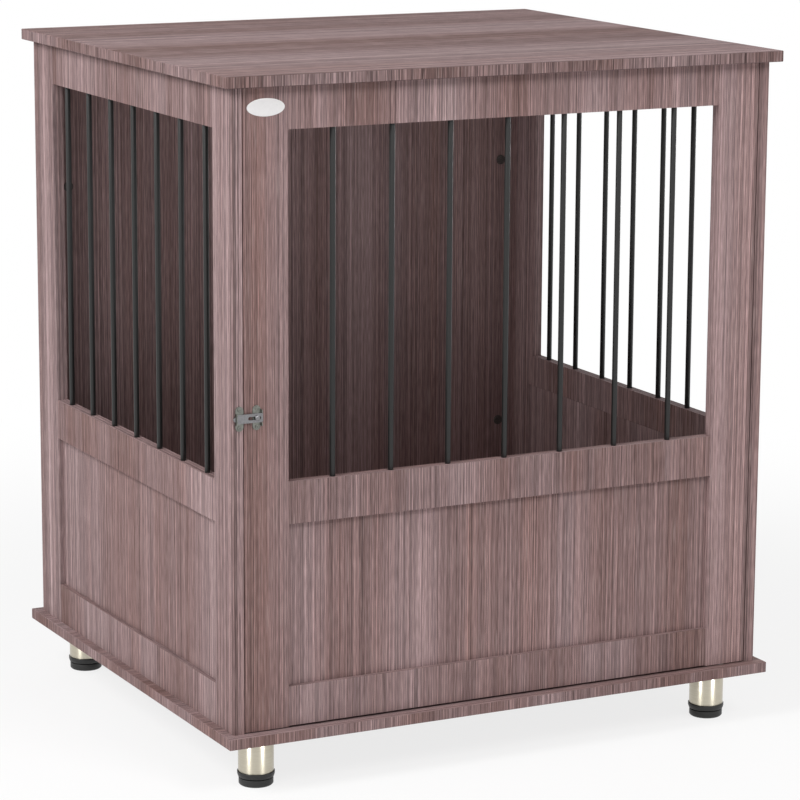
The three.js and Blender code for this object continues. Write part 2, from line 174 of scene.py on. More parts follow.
@dataclass(frozen=True)
class PrintedLaminate:
    """Melamine-faced board, printed with a grey-mauve walnut grain and pressed finely matt.

    The eye sees long, nearly straight streaks half a millimetre to a millimetre wide, short pores
    among them, thin pale and dark lines, and bands two to eight centimetres wide that drift between
    mauve grey and reddish brown. The real print's finest streaks are about 0.3 mm wide. They are
    drawn 0.5 mm wide, or with `coarse` above 1 wider still, because they would vanish at the
    picture's scale.
    """

    name: str
    shift: tuple[float, float, float]
    level: Grain = Grain.ALONG_X
    coarse: float = 1.0
    # How much lighter the board is drawn: partly its own print, and partly painted light that makes
    # up for how the lamps fall.
    shade: float = 1.0
    # Streaks that are even in ratio raise the mean a little, and this brings it back.
    mean: float = 0.96
    # Where the layers add up to 1, the print is (1 + contrast) / (1 - contrast) times as light as
    # where they add up to 0.
    contrast: float = 0.5
    # The streaks wander sideways by this layer's share, in millimetres.
    drift: Layer = Layer(30.0, 120.0, 1.0, 5.0, detail=1.0)
    # Each layer's width and length in millimetres, its share and its seed.
    layers: tuple[Layer, ...] = (
        Layer(0.5, 1800.0, 1.3, 0.0, cells=True),
        Layer(0.7, 50.0, 0.5, 7.0, cells=True),
        Layer(0.9, 15.0, 0.5, 11.0),
        Layer(20.0, 2500.0, 0.18, 31.0, cells=True),
        Layer(84.0, 1500.0, 0.62, 23.0),
    )
    hue_layers: tuple[Layer, ...] = (
        Layer(20.0, 2500.0, 0.25, 31.0, cells=True),
        Layer(84.0, 1500.0, 0.8, 23.0),
        Layer(30.0, 1200.0, 0.3, 43.0, detail=1.0),
        Layer(6.0, 900.0, 0.12, 59.0),
    )
    # Position on the ramp and colour of each hue in the print.
    hues: tuple[tuple[float, str], ...] = (
        (0.18, "8b6f6b"),
        (0.36, "8a716f"),
        (0.50, "8a7372"),
        (0.64, "8a7575"),
        (0.82, "8a7777"),
    )
    lines: tuple[Lines, ...] = (
        Lines(Layer(0.8, 50.0, 0.4, 51.0), 0.68, 0.76, "b39d9a"),
        Lines(Layer(0.7, 900.0, 0.3, 67.0), 0.70, 0.76, "66504d"),
    )
    # Roughness where the print is darkest, and where it is lightest.
    roughness: tuple[float, float] = (0.74, 0.62)
    specular: float = 0.05
    bump_strength: float = 0.1
    bump_height: float = 0.2 * MM
    # A face is level where its normal's upright part is more than this.
    level_from: float = 0.7
    # A layer's shift along the grain is this many times its shift across it.
    seed_slant: float = 1.7

    def grain_place(self, tree: bpy.types.NodeTree) -> bpy.types.NodeSocket:
        """Gives each point its place in the grain.

        Args:
            tree: The material's node tree.

        Returns:
            A vector whose first part runs across the grain and whose second part runs along it.
        """
        coords = add_node(tree, "ShaderNodeTexCoord")
        moved = add_node(
            tree,
            "ShaderNodeMapping",
            {"Vector": coords.outputs["Object"]},
            {"Location": self.shift},
        )
        x, y, z = add_node(tree, "ShaderNodeSeparateXYZ", {0: moved.outputs[0]}).outputs
        round_board = add_node(tree, "ShaderNodeMath", {0: x, 1: y}, operation="ADD")
        upright = add_node(tree, "ShaderNodeCombineXYZ", {0: round_board.outputs[0], 1: z})
        order = (y, x) if self.level is Grain.ALONG_X else (x, y)
        flat = add_node(tree, "ShaderNodeCombineXYZ", dict(enumerate(order)))
        facing = add_node(tree, "ShaderNodeSeparateXYZ", {0: coords.outputs["Normal"]})
        level = add_node(tree, "ShaderNodeMath", {0: facing.outputs[2]}, operation="ABSOLUTE")
        is_level = add_node(
            tree,
            "ShaderNodeMath",
            {0: level.outputs[0]},
            {1: self.level_from},
            operation="GREATER_THAN",
        )
        mixed = add_node(
            tree,
            "ShaderNodeMix",
            {0: is_level.outputs[0], 4: upright.outputs[0], 5: flat.outputs[0]},
            data_type="VECTOR",
        )
        scaled = add_node(
            tree,
            "ShaderNodeVectorMath",
            {0: mixed.outputs[1]},
            {1: (1 / self.coarse, 1.0, 0.0)},
            operation="MULTIPLY",
        )
        return scaled.outputs[0]

    def texture(
        self, tree: bpy.types.NodeTree, place: bpy.types.NodeSocket, layer: Layer
    ) -> bpy.types.NodeSocket:
        """Makes a texture that is drawn out along the grain.

        Args:
            tree: The material's node tree.
            place: The place in the grain.
            layer: The size and kind of its streaks. Their share isn't used here.

        Returns:
            A value around 0.5.
        """
        scale = (MM_PER_M / layer.width_mm, MM_PER_M / layer.length_mm, 0.0)
        offset = (layer.seed, layer.seed * self.seed_slant, 0.0)
        scaled = add_node(
            tree,
            "ShaderNodeVectorMath",
            {0: place},
            {1: scale, 2: offset},
            operation="MULTIPLY_ADD",
        )
        links = {"Vector": scaled.outputs[0]}
        if layer.cells:
            made = add_node(
                tree, "ShaderNodeTexVoronoi", links, {"Scale": 1.0}, voronoi_dimensions="2D"
            )
            return made.outputs["Color"]
        values = {"Scale": 1.0, "Detail": layer.detail}
        return add_node(tree, "ShaderNodeTexNoise", links, values, noise_dimensions="2D").outputs[0]

    def sum_of(
        self, tree: bpy.types.NodeTree, place: bpy.types.NodeSocket, layers: tuple[Layer, ...]
    ) -> bpy.types.NodeSocket:
        """Adds layers up around a middle of 0.5.

        Args:
            tree: The material's node tree.
            place: The place in the grain.
            layers: The layers.

        Returns:
            The sum.
        """
        total: bpy.types.NodeSocket | None = None
        for layer in layers:
            links = {0: self.texture(tree, place, layer)}
            values = {1: layer.share}
            if total is None:
                values[2] = 0.5 - 0.5 * sum(each.share for each in layers)
            else:
                links[2] = total
            added = add_node(tree, "ShaderNodeMath", links, values, operation="MULTIPLY_ADD")
            total = added.outputs[0]
        return total

    def make(self) -> bpy.types.Material:
        """Builds the material.

        Returns:
            The material.
        """
        material, tree, shader = new_material(self.name)
        straight = self.grain_place(tree)
        drift = self.texture(tree, straight, self.drift)
        place = add_node(
            tree,
            "ShaderNodeVectorMath",
            {0: drift, 2: straight},
            {1: (self.drift.share * MM, 0.0, 0.0)},
            operation="MULTIPLY_ADD",
        ).outputs[0]

        value = self.sum_of(tree, place, self.layers)
        ramp = add_node(tree, "ShaderNodeValToRGB", {0: self.sum_of(tree, place, self.hue_layers)})
        elements = ramp.color_ramp.elements
        while len(elements) < len(self.hues):
            elements.new(0.5)
        for element, (position, code) in zip(elements, self.hues):
            element.position = position
            element.color = linear(code)
        # An even step in the print is an even ratio of light, so the streaks don't lean to dark.
        ratio = (1.0 + self.contrast) / (1.0 - self.contrast)
        stepped = add_node(tree, "ShaderNodeMath", {1: value}, {0: ratio}, operation="POWER")
        # The board's shade, partly print and partly painted light, scales the strength of the
        # print.
        strength = add_node(
            tree,
            "ShaderNodeMath",
            {0: stepped.outputs[0]},
            {1: self.mean * self.shade / math.sqrt(ratio)},
            operation="MULTIPLY",
        )
        colour = add_node(
            tree,
            "ShaderNodeVectorMath",
            {0: ramp.outputs[0], "Scale": strength.outputs[0]},
            operation="SCALE",
        ).outputs[0]
        for line in self.lines:
            share = add_node(
                tree,
                "ShaderNodeMapRange",
                {"Value": self.texture(tree, place, line.layer)},
                {
                    "From Min": line.low,
                    "From Max": line.high,
                    "To Min": 0.0,
                    "To Max": line.layer.share,
                },
            )
            colour = add_node(
                tree,
                "ShaderNodeMix",
                {0: share.outputs[0], 6: colour},
                {7: linear(line.colour)},
                data_type="RGBA",
            ).outputs[2]
        tree.links.new(colour, shader.inputs["Base Color"])

        matt = add_node(
            tree,
            "ShaderNodeMapRange",
            {"Value": value},
            {
                "From Min": 0.0,
                "From Max": 1.0,
                "To Min": self.roughness[0],
                "To Max": self.roughness[1],
            },
        )
        tree.links.new(matt.outputs[0], shader.inputs["Roughness"])
        bump = add_node(
            tree,
            "ShaderNodeBump",
            {"Height": value},
            {"Strength": self.bump_strength, "Distance": self.bump_height},
        )
        tree.links.new(bump.outputs[0], shader.inputs["Normal"])
        shader.inputs["Specular IOR Level"].default_value = self.specular
        return material


@dataclass(frozen=True)
class PlainFinish:
    """A one-colour material whose surface still varies: paint, plate, moulded plastic or enamel.

    A fine noise moves the colour and the roughness a little, and lifts the surface. Its features
    are as high as the grit, and the stretch makes them longer along X and Y. A brushed finish
    spreads its light up and down, as lines polished round an upright axis do.
    """

    name: str
    colour: str
    other: str
    roughness: float
    metallic: float
    grit_mm: float
    lift: float
    stretch: float = 1.0
    coat: float = 0.0
    brushed: float = 0.0
    noise_detail: float = 3.0
    noise_roughness: float = 0.55
    # The noise's low and high values, as they are read for the colour and for the roughness.
    colour_range: tuple[float, float] = (0.35, 0.65)
    roughness_range: tuple[float, float] = (0.3, 0.7)
    roughness_spread: float = 0.12
    bump_height: float = 0.1 * MM
    # Turns the spread of light from along the tangent to across it.
    quarter_turn: float = 0.25

    def make(self) -> bpy.types.Material:
        """Builds the material.

        Returns:
            The material.
        """
        material, tree, shader = new_material(self.name)
        coords = add_node(tree, "ShaderNodeTexCoord")
        across = MM_PER_M / self.grit_mm
        scaled = add_node(
            tree,
            "ShaderNodeMapping",
            {"Vector": coords.outputs["Object"]},
            {"Scale": (across / self.stretch, across / self.stretch, across)},
        )
        noise = add_node(
            tree,
            "ShaderNodeTexNoise",
            {"Vector": scaled.outputs[0]},
            {"Scale": 1.0, "Detail": self.noise_detail, "Roughness": self.noise_roughness},
        )
        share = add_node(
            tree,
            "ShaderNodeMapRange",
            {"Value": noise.outputs[0]},
            {"From Min": self.colour_range[0], "From Max": self.colour_range[1]},
        )
        colour = add_node(
            tree,
            "ShaderNodeMix",
            {0: share.outputs[0]},
            {6: linear(self.colour), 7: linear(self.other)},
            data_type="RGBA",
        )
        tree.links.new(colour.outputs[2], shader.inputs["Base Color"])
        rough = add_node(
            tree,
            "ShaderNodeMapRange",
            {"Value": noise.outputs[0]},
            {
                "From Min": self.roughness_range[0],
                "From Max": self.roughness_range[1],
                "To Min": self.roughness * (1.0 - self.roughness_spread),
                "To Max": min(1.0, self.roughness * (1.0 + self.roughness_spread)),
            },
        )
        tree.links.new(rough.outputs[0], shader.inputs["Roughness"])
        bump = add_node(
            tree,
            "ShaderNodeBump",
            {"Height": noise.outputs[0]},
            {"Strength": self.lift, "Distance": self.bump_height},
        )
        tree.links.new(bump.outputs[0], shader.inputs["Normal"])
        shader.inputs["Metallic"].default_value = self.metallic
        shader.inputs["Coat Weight"].default_value = self.coat
        if self.brushed:
            facing = add_node(tree, "ShaderNodeNewGeometry")
            round_axis = add_node(
                tree,
                "ShaderNodeVectorMath",
                {0: facing.outputs["Normal"]},
                {1: (0.0, 0.0, 1.0)},
                operation="CROSS_PRODUCT",
            )
            tree.links.new(round_axis.outputs[0], shader.inputs["Tangent"])
            shader.inputs["Anisotropic"].default_value = self.brushed
            shader.inputs["Anisotropic Rotation"].default_value = self.quarter_turn
        return material


# Powder coat on steel rod: black, with a faint orange peel that spreads its highlight. Each bump of
# the peel is 0.8 mm across.
POWDER_COAT = PlainFinish(
    "powder_coated_steel_rod",
    "121212",
    "181817",
    roughness=0.42,
    metallic=0.0,
    grit_mm=0.8,
    lift=0.12,
)
# Nickel-plated steel tube, satin polished round its axis: pale champagne with soft upright bands of
# light. The polishing lines are finer than 0.1 mm, and are drawn 0.6 mm apart so that they show.
SATIN_NICKEL = PlainFinish(
    "satin_nickel_plated_tube",
    "c4beae",
    "beb7a6",
    roughness=0.32,
    metallic=1.0,
    grit_mm=0.6,
    lift=0.006,
    stretch=30.0,
    brushed=0.8,
)
# Zinc-plated sheet steel: mid grey, faintly green, with a slight cloudiness from the plating bath.
ZINC_PLATE = PlainFinish(
    "zinc_plated_sheet_steel",
    "878882",
    "7b7c76",
    roughness=0.42,
    metallic=1.0,
    grit_mm=2.5,
    lift=0.08,
)
# Nickel-plated steel, rolled: the bar and the rivet are a shade lighter and colder than the plates.
ROLLED_NICKEL = PlainFinish(
    "rolled_nickel_plated_steel",
    "8d8c8e",
    "828183",
    roughness=0.36,
    metallic=1.0,
    grit_mm=1.8,
    lift=0.05,
)
# Die-cast zinc, left as cast and dull: a brown grey that hardly stands out in the shade.
CAST_ZINC = PlainFinish(
    "die_cast_zinc_cam",
    "57504d",
    "453f3d",
    roughness=0.55,
    metallic=0.6,
    grit_mm=1.2,
    lift=0.15,
)
# Injection-moulded polypropylene: near black, with a spark-eroded grain that dulls its highlight.
# The grain is about 0.1 mm, and is drawn 0.6 mm so that it shows.
POLYPROPYLENE = PlainFinish(
    "moulded_polypropylene",
    "232323",
    "1c1c1c",
    roughness=0.48,
    metallic=0.0,
    grit_mm=0.6,
    lift=0.25,
)
# Stove enamel on a thin oval plate: bright white under a clear gloss, with the faintest waviness.
WHITE_ENAMEL = PlainFinish(
    "white_enamelled_plate",
    "f2f0f0",
    "efeded",
    roughness=0.3,
    metallic=0.0,
    grit_mm=4.0,
    lift=0.004,
    coat=0.5,
)


# --------------------------------------------------------------------------------------------------
# Making pieces
# --------------------------------------------------------------------------------------------------


def soften(bm: bmesh.types.BMesh, angle_deg: float = 35.0) -> None:
    """Shades a mesh smooth between edges that are sharper than an angle.

    Args:
        bm: The mesh.
        angle_deg: Edges that turn by more than this stay sharp.
    """
    limit = math.radians(angle_deg)
    for face in bm.faces:
        face.smooth = True
    for edge in bm.edges:
        edge.smooth = edge.is_manifold and edge.calc_face_angle(0.0) < limit


def round_rims(
    bm: bmesh.types.BMesh, width: float, segments: int = 2, angle_deg: float = 40.0
) -> None:
    """Rounds every edge that is sharper than an angle.

    Args:
        bm: The mesh.
        width: How far the round reaches from the edge.
        segments: How many faces make the round.
        angle_deg: Edges that turn by less than this are left.
    """
    limit = math.radians(angle_deg)
    sharp = [e for e in bm.edges if e.is_manifold and e.calc_face_angle(0.0) > limit]
    bmesh.ops.bevel(
        bm,
        geom=sharp,
        offset=width,
        offset_type="OFFSET",
        affect="EDGES",
        segments=segments,
        profile=0.5,
        material=-1,
        clamp_overlap=True,
    )


def turn(
    profile: list[tuple[float, float]], centre: Vector, closed: bool, steps: int
) -> bmesh.types.BMesh:
    """Spins a profile round an upright axis.

    Args:
        profile: Radius and height pairs.
        centre: A point on the axis; its height is ignored.
        closed: Whether the profile closes on itself, as a tube's wall does.
        steps: How many sides the turned piece has.

    Returns:
        A closed mesh.
    """
    bm = bmesh.new()
    verts = [bm.verts.new((centre.x + radius, centre.y, height)) for radius, height in profile]
    edges = [bm.edges.new(pair) for pair in zip(verts, verts[1:])]
    if closed:
        edges.append(bm.edges.new((verts[-1], verts[0])))
    bmesh.ops.spin(
        bm,
        geom=verts + edges,
        cent=(centre.x, centre.y, 0.0),
        axis=(0.0, 0.0, 1.0),
        dvec=(0.0, 0.0, 0.0),
        angle=math.tau,
        steps=steps,
        use_merge=True,
    )
    bmesh.ops.remove_doubles(bm, verts=bm.verts, dist=WELD)
    bmesh.ops.recalc_face_normals(bm, faces=bm.faces)
    return bm


def place_facing_front(bm: bmesh.types.BMesh, centre: Vector) -> None:
    """Turns a mesh that faces +Z so that it faces -Y, and moves it.

    Args:
        bm: The mesh, drawn round the origin.
        centre: Where its origin goes.
    """
    matrix = Matrix.Translation(centre) @ Matrix.Rotation(math.radians(90), 4, "X")
    bmesh.ops.transform(bm, matrix=matrix, verts=bm.verts)


def piece(
    name: str,
    bm: bmesh.types.BMesh,
    material: bpy.types.Material,
    body: str,
    replaces: tuple[str, ...] = (),
) -> None:
    """Turns a mesh into a piece of the object.

    Args:
        name: The piece's name.
        bm: Its mesh, which is freed.
        material: Its material.
        body: The CAD body that it moves with.
        replaces: CAD nodes that it stands for.
    """
    bmesh.ops.recalc_face_normals(bm, faces=bm.faces)
    soften(bm)
    mesh = bpy.data.meshes.new(name)
    bm.to_mesh(mesh)
    bm.free()
    mesh.materials.append(material)
    obj = bpy.data.objects.new(name, mesh)
    bpy.context.scene.collection.objects.link(obj)
    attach(obj, body)
    if replaces:
        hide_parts(*replaces)
    LOG.info("%s: %d faces, rides on %s", name, len(mesh.polygons), body)


def dress(node: str, material: bpy.types.Material) -> None:
    """Gives a CAD node its finished material.

    Args:
        node: The CAD node's name.
        material: The material.
    """
    obj = frame["nodes"][node]
    if not obj.material_slots:
        obj.data.materials.append(material)
    for slot in obj.material_slots:
        slot.material = material
    LOG.info("%s: dressed with %s", node, material.name)


def nodes_with_slot(slot: str) -> list[str]:
    """Lists the CAD nodes that the record gives a material slot."""
    return [part["node"] for part in frame["record"]["subparts"] if part["material_slot"] == slot]


def body_of(node: str) -> str:
    """Names the CAD body that a node belongs to."""
    bodies = frame["record"]["behaviour"]["bodies"]
    return next(name for name, nodes in bodies.items() if node in nodes)


# --------------------------------------------------------------------------------------------------
# The table
# --------------------------------------------------------------------------------------------------


@dataclass
class Boards:
    """Every laminated board, each cut from its own stretch of the printed sheet."""

    # How far each board's place in the print is from the last one's.
    step: tuple[float, float, float] = (0.377, 0.611, 0.853)
    # Some boards are drawn lighter or darker: partly the sheet's own uneven print, and partly
    # painted light that makes up for how the lamps fall, as on the table top, drawn darker under
    # its top light.
    print_and_painted_light_shades: tuple[tuple[str, float], ...] = (
        ("table_top", 0.86),
        ("back_panel", 1.1),
        ("door_top_rail", 1.1),
        ("door_hinge_stile", 1.32),
        ("door_latch_stile", 1.14),
        ("door_panel", 1.12),
        ("_side_front_stile", 0.99),
        ("_side_rear_stile", 1.03),
        ("_side_top_rail", 0.93),
    )
    # Boards that the eye sees at a slant keep their streaks only if these are drawn wider.
    widened: tuple[tuple[str, float], ...] = (("table_top", 1.6), ("_side_", 1.3))

    def print_and_painted_light_shade_of(self, node: str) -> float:
        """Gives how much lighter than the plain sheet a board is drawn, print and painted light
        together.
        """
        return next((shade for end, shade in self.print_and_painted_light_shades if node.endswith(end)), 1.0)

    def coarse_of(self, node: str) -> float:
        """Gives how much wider than on a board seen square the streaks are drawn."""
        return next((coarse for part, coarse in self.widened if part in node), 1.0)

    def build(self) -> None:
        """Dresses the boards."""
        for i, node in enumerate(nodes_with_slot("laminate"), start=1):
            shift = (self.step[0] * i, self.step[1] * i, self.step[2] * i)
            level = Grain.ALONG_Y if "_side_" in node else Grain.ALONG_X
            name = f"printed_walnut_laminate_{node}"
            # The shade passed here is partly the board's print and partly painted light.
            finish = PrintedLaminate(name, shift, level, self.coarse_of(node), self.print_and_painted_light_shade_of(node))
            dress(node, finish.make())


@dataclass
class WindowRods:
    """The round rods in the windows of the door and both sides."""

    segments: int = 32
    end_round: float = 0.5 * MM

    def build(self) -> None:
        """Makes each rod, round where the CAD rod has flats."""
        material = POWDER_COAT.make()
        for node in nodes_with_slot("bar"):
            low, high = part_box(node)
            centre = (low + high) / 2
            radius = (high.x - low.x) / 2
            bm = bmesh.new()
            bmesh.ops.create_cone(
                bm,
                cap_ends=True,
                cap_tris=False,
                segments=self.segments,
                radius1=radius,
                radius2=radius,
                depth=high.z - low.z,
                matrix=Matrix.Translation(centre),
            )
            round_rims(bm, self.end_round)
            piece(node.replace("_bar_", "_rod_"), bm, material, body_of(node), (node,))


@dataclass
class Leg:
    """One leg: a nickel tube, a black cap with a collar, and a levelling glide."""

    place: str
    wall: float = 1.25 * MM
    head: float = 2.5 * MM
    fit: float = 0.25 * MM
    collar_height: float = 6 * MM
    collar_taper: float = 1 * MM
    glide_disc: float = 8 * MM
    foot_bevel: float = 1.5 * MM
    stud_radius: float = 4 * MM
    tube_round: float = 0.3 * MM
    plastic_round: float = 0.35 * MM
    steps: int = 96

    def tube(self, material: bpy.types.Material) -> None:
        """Turns the tube, open below.

        Args:
            material: Its material.
        """
        node = f"{self.place}_leg_tube"
        low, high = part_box(node)
        outer = (high.x - low.x) / 2
        stud = self.stud_radius + self.fit
        bore = outer - self.wall
        profile = [
            (bore, low.z),
            (outer, low.z),
            (outer, high.z),
            (stud, high.z),
            (stud, high.z - self.head),
            (bore, high.z - self.head),
        ]
        bm = turn(profile, (low + high) / 2, closed=True, steps=self.steps)
        round_rims(bm, self.tube_round)
        piece(f"{self.place}_nickel_tube", bm, material, body_of(node), (node,))

    def cap(self, material: bpy.types.Material) -> None:
        """Turns the cap: a plug in the tube and a collar whose lower half draws in.

        Args:
            material: Its material.
        """
        node = f"{self.place}_leg_cap"
        low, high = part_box(node)
        tube_low, tube_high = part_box(f"{self.place}_leg_tube")
        collar = (high.x - low.x) / 2
        plug = (tube_high.x - tube_low.x) / 2 - self.wall - self.fit
        stud = self.stud_radius + self.fit
        profile = [
            (stud, low.z),
            (collar - self.collar_taper, low.z),
            (collar, low.z + self.collar_height / 2),
            (collar, low.z + self.collar_height),
            (plug, low.z + self.collar_height),
            (plug, high.z),
            (stud, high.z),
        ]
        bm = turn(profile, (low + high) / 2, closed=True, steps=self.steps)
        round_rims(bm, self.plastic_round)
        piece(f"{self.place}_collar_cap", bm, material, body_of(node), (node,))

    def glide(self, material: bpy.types.Material) -> None:
        """Turns the glide: a disc on the floor and its stud.

        Args:
            material: Its material.
        """
        node = f"{self.place}_leg_glide"
        low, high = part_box(node)
        disc = (high.x - low.x) / 2
        stud = self.stud_radius
        profile = [
            (0.0, low.z),
            (disc - self.foot_bevel, low.z),
            (disc, low.z + self.foot_bevel),
            (disc, low.z + self.glide_disc),
            (stud, low.z + self.glide_disc),
            (stud, high.z),
            (0.0, high.z),
        ]
        bm = turn(profile, (low + high) / 2, closed=False, steps=self.steps)
        round_rims(bm, self.plastic_round)
        piece(f"{self.place}_levelling_glide", bm, material, body_of(node), (node,))

    def build(self, nickel: bpy.types.Material, plastic: bpy.types.Material) -> None:
        """Makes the three pieces.

        Args:
            nickel: The tube's material.
            plastic: The material of the cap and the glide.
        """
        self.tube(nickel)
        self.cap(plastic)
        self.glide(plastic)


@dataclass(frozen=True)
class CrossHead:
    """A round head with a cross recess: a latch screw, or the face of a cam lock."""

    radius: float
    height: float
    arm: float
    slot: float
    depth: float
    segments: int = 24
    rim: float = 0.3 * MM
    rim_segments: int = 3

    def mesh(self, centre: Vector) -> bmesh.types.BMesh:
        """Shapes the head.

        Args:
            centre: Where the head's back face sits. The head faces -Y.

        Returns:
            A closed mesh.
        """
        bm = bmesh.new()
        # Nine squares without the four at the corners are the cross.
        square = 1.0 / 3.0
        bmesh.ops.create_grid(bm, x_segments=3, y_segments=3, size=1.5 * square)
        middles = ((face, face.calc_center_median()) for face in bm.faces)
        corners = [face for face, at in middles if min(abs(at.x), abs(at.y)) > square / 2]
        bmesh.ops.delete(bm, geom=corners, context="FACES")
        for vert in bm.verts:
            for axis in (0, 1):
                reach = self.arm if abs(vert.co[axis]) > square else self.slot / 2
                vert.co[axis] = math.copysign(reach, vert.co[axis])
        outline = [e for e in bm.edges if e.is_boundary]
        bmesh.ops.subdivide_edges(bm, edges=outline, cuts=1)
        # It is sunk to be the recess's floor, and its mouth is joined to the head's round rim.
        faces = list(bm.faces)
        floor = bmesh.ops.extrude_face_region(bm, geom=faces)
        bmesh.ops.delete(bm, geom=[f for f in faces if f.is_valid], context="FACES")
        sunk = [v for v in floor["geom"] if isinstance(v, bmesh.types.BMVert)]
        bmesh.ops.translate(bm, verts=sunk, vec=(0.0, 0.0, -self.depth))
        mouth = [e for e in bm.edges if e.is_boundary]
        ring = bmesh.ops.create_circle(
            bm, cap_ends=False, segments=self.segments, radius=self.radius
        )
        rim = [e for e in bm.edges if e.is_wire]
        bmesh.ops.triangle_fill(bm, edges=mouth + rim, use_beauty=True, normal=(0.0, 0.0, 1.0))
        # The rim is drawn down to the back, which is closed, and its front edge is rounded.
        side = bmesh.ops.extrude_edge_only(bm, edges=rim)
        lowered = [v for v in side["geom"] if isinstance(v, bmesh.types.BMVert)]
        bmesh.ops.translate(bm, verts=lowered, vec=(0.0, 0.0, -self.height))
        bmesh.ops.holes_fill(bm, edges=[e for e in bm.edges if e.is_boundary], sides=0)
        bmesh.ops.bevel(
            bm,
            geom=[e for e in bm.edges if all(v in ring["verts"] for v in e.verts)],
            offset=self.rim,
            offset_type="OFFSET",
            affect="EDGES",
            segments=self.rim_segments,
            profile=0.5,
            material=-1,
        )
        bmesh.ops.translate(bm, verts=bm.verts, vec=(0.0, 0.0, self.height))
        place_facing_front(bm, centre)
        return bm


@dataclass
class SlideLatch:
    """The latch: its sheet metal, and the four screws that hold its two plates."""

    sheet: float = 1 * MM
    screw_spread: float = 19 * MM
    screw: CrossHead = CrossHead(
        radius=2.1 * MM, height=0.9 * MM, arm=1.2 * MM, slot=0.5 * MM, depth=0.35 * MM
    )
    head_rise: float = 1.75 * MM
    shank_radius: float = 1.5 * MM
    dome_step_deg: int = 15
    steps: int = 48

    def knob(self, material: bpy.types.Material) -> None:
        """Turns the rivet: a shank through the bar's slot, and a domed head in front of the bar.

        Args:
            material: Its material.
        """
        low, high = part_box("latch_rivet")
        head = (high.x - low.x) / 2
        length = high.y - low.y
        under = length - self.head_rise
        half = self.head_rise / 2
        angles = [math.radians(degrees) for degrees in range(0, 90, self.dome_step_deg)]
        dome = [(head * math.cos(at), under + half + half * math.sin(at)) for at in angles]
        shank = [(0.0, 0.0), (self.shank_radius, 0.0), (self.shank_radius, under), (head, under)]
        profile = shank + dome + [(0.0, length)]
        bm = turn(profile, Vector((0.0, 0.0, 0.0)), closed=False, steps=self.steps)
        place_facing_front(bm, Vector(((low.x + high.x) / 2, high.y, (low.z + high.z) / 2)))
        piece("latch_knob", bm, material, body_of("latch_rivet"), ("latch_rivet",))

    def build(self) -> None:
        """Dresses the plates and the bar, turns the rivet, and puts in the screws."""
        zinc = ZINC_PLATE.make()
        nickel = ROLLED_NICKEL.make()
        for node in ("latch_keeper", "latch_plate"):
            dress(node, zinc)
        dress("latch_bar", nickel)
        self.knob(nickel)
        for node in ("latch_keeper", "latch_plate"):
            low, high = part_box(node)
            middle = (low + high) / 2
            for label, side in (("upper", 1), ("lower", -1)):
                height = middle.z + side * self.screw_spread / 2
                bm = self.screw.mesh(Vector((middle.x, high.y - self.sheet, height)))
                piece(f"{node}_{label}_screw", bm, zinc, body_of(node))


@dataclass
class CamLocks:
    """The four cam lock faces that show on the inside of the back panel."""

    inset: float = 23 * MM
    lower: float = 177 * MM
    upper: float = 505 * MM
    face: CrossHead = CrossHead(
        radius=5.9 * MM, height=0.8 * MM, arm=3.4 * MM, slot=1.2 * MM, depth=0.5 * MM
    )

    def build(self) -> None:
        """Puts a cam face in each corner region of the panel."""
        low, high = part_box("back_panel")
        zinc = CAST_ZINC.make()
        for across, x in (("left", low.x + self.inset), ("right", high.x - self.inset)):
            for level, z in (("lower", low.z + self.lower), ("upper", low.z + self.upper)):
                bm = self.face.mesh(Vector((x, low.y, z)))
                piece(f"cam_lock_{level}_{across}", bm, zinc, "cabinet")


@dataclass
class OvalPlate:
    """A small bare oval plate near the top of the door's left stile."""

    width: float = 42 * MM
    height: float = 18.4 * MM
    thickness: float = 0.9 * MM
    below_top: float = 20.2 * MM
    from_edge: float = 25.2 * MM
    segments: int = 96
    # The upright flank's share of the thickness, then each step inwards and its share.
    flank: float = 0.6
    crown: tuple[tuple[float, float], ...] = ((0.4 * MM, 0.2), (0.8 * MM, 0.13), (1.2 * MM, 0.07))

    def build(self) -> None:
        """Makes the plate, slightly domed."""
        low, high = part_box("door_latch_stile")
        bm = bmesh.new()
        bmesh.ops.create_circle(bm, cap_ends=True, segments=self.segments, radius=0.5)
        bmesh.ops.scale(bm, vec=(self.width, self.height, 1.0), verts=bm.verts)
        raised = bmesh.ops.extrude_face_region(bm, geom=list(bm.faces))
        verts = [v for v in raised["geom"] if isinstance(v, bmesh.types.BMVert)]
        bmesh.ops.translate(bm, verts=verts, vec=(0.0, 0.0, self.thickness * self.flank))
        for inset, rise in self.crown:
            top = max(bm.faces, key=lambda face: face.calc_center_median().z)
            bmesh.ops.inset_region(
                bm, faces=[top], thickness=inset, depth=rise * self.thickness, use_even_offset=True
            )
        centre = Vector((low.x + self.from_edge, low.y, high.z - self.below_top))
        place_facing_front(bm, centre)
        piece("bare_oval_plate", bm, WHITE_ENAMEL.make(), "door")


# --------------------------------------------------------------------------------------------------
# The studio
# --------------------------------------------------------------------------------------------------


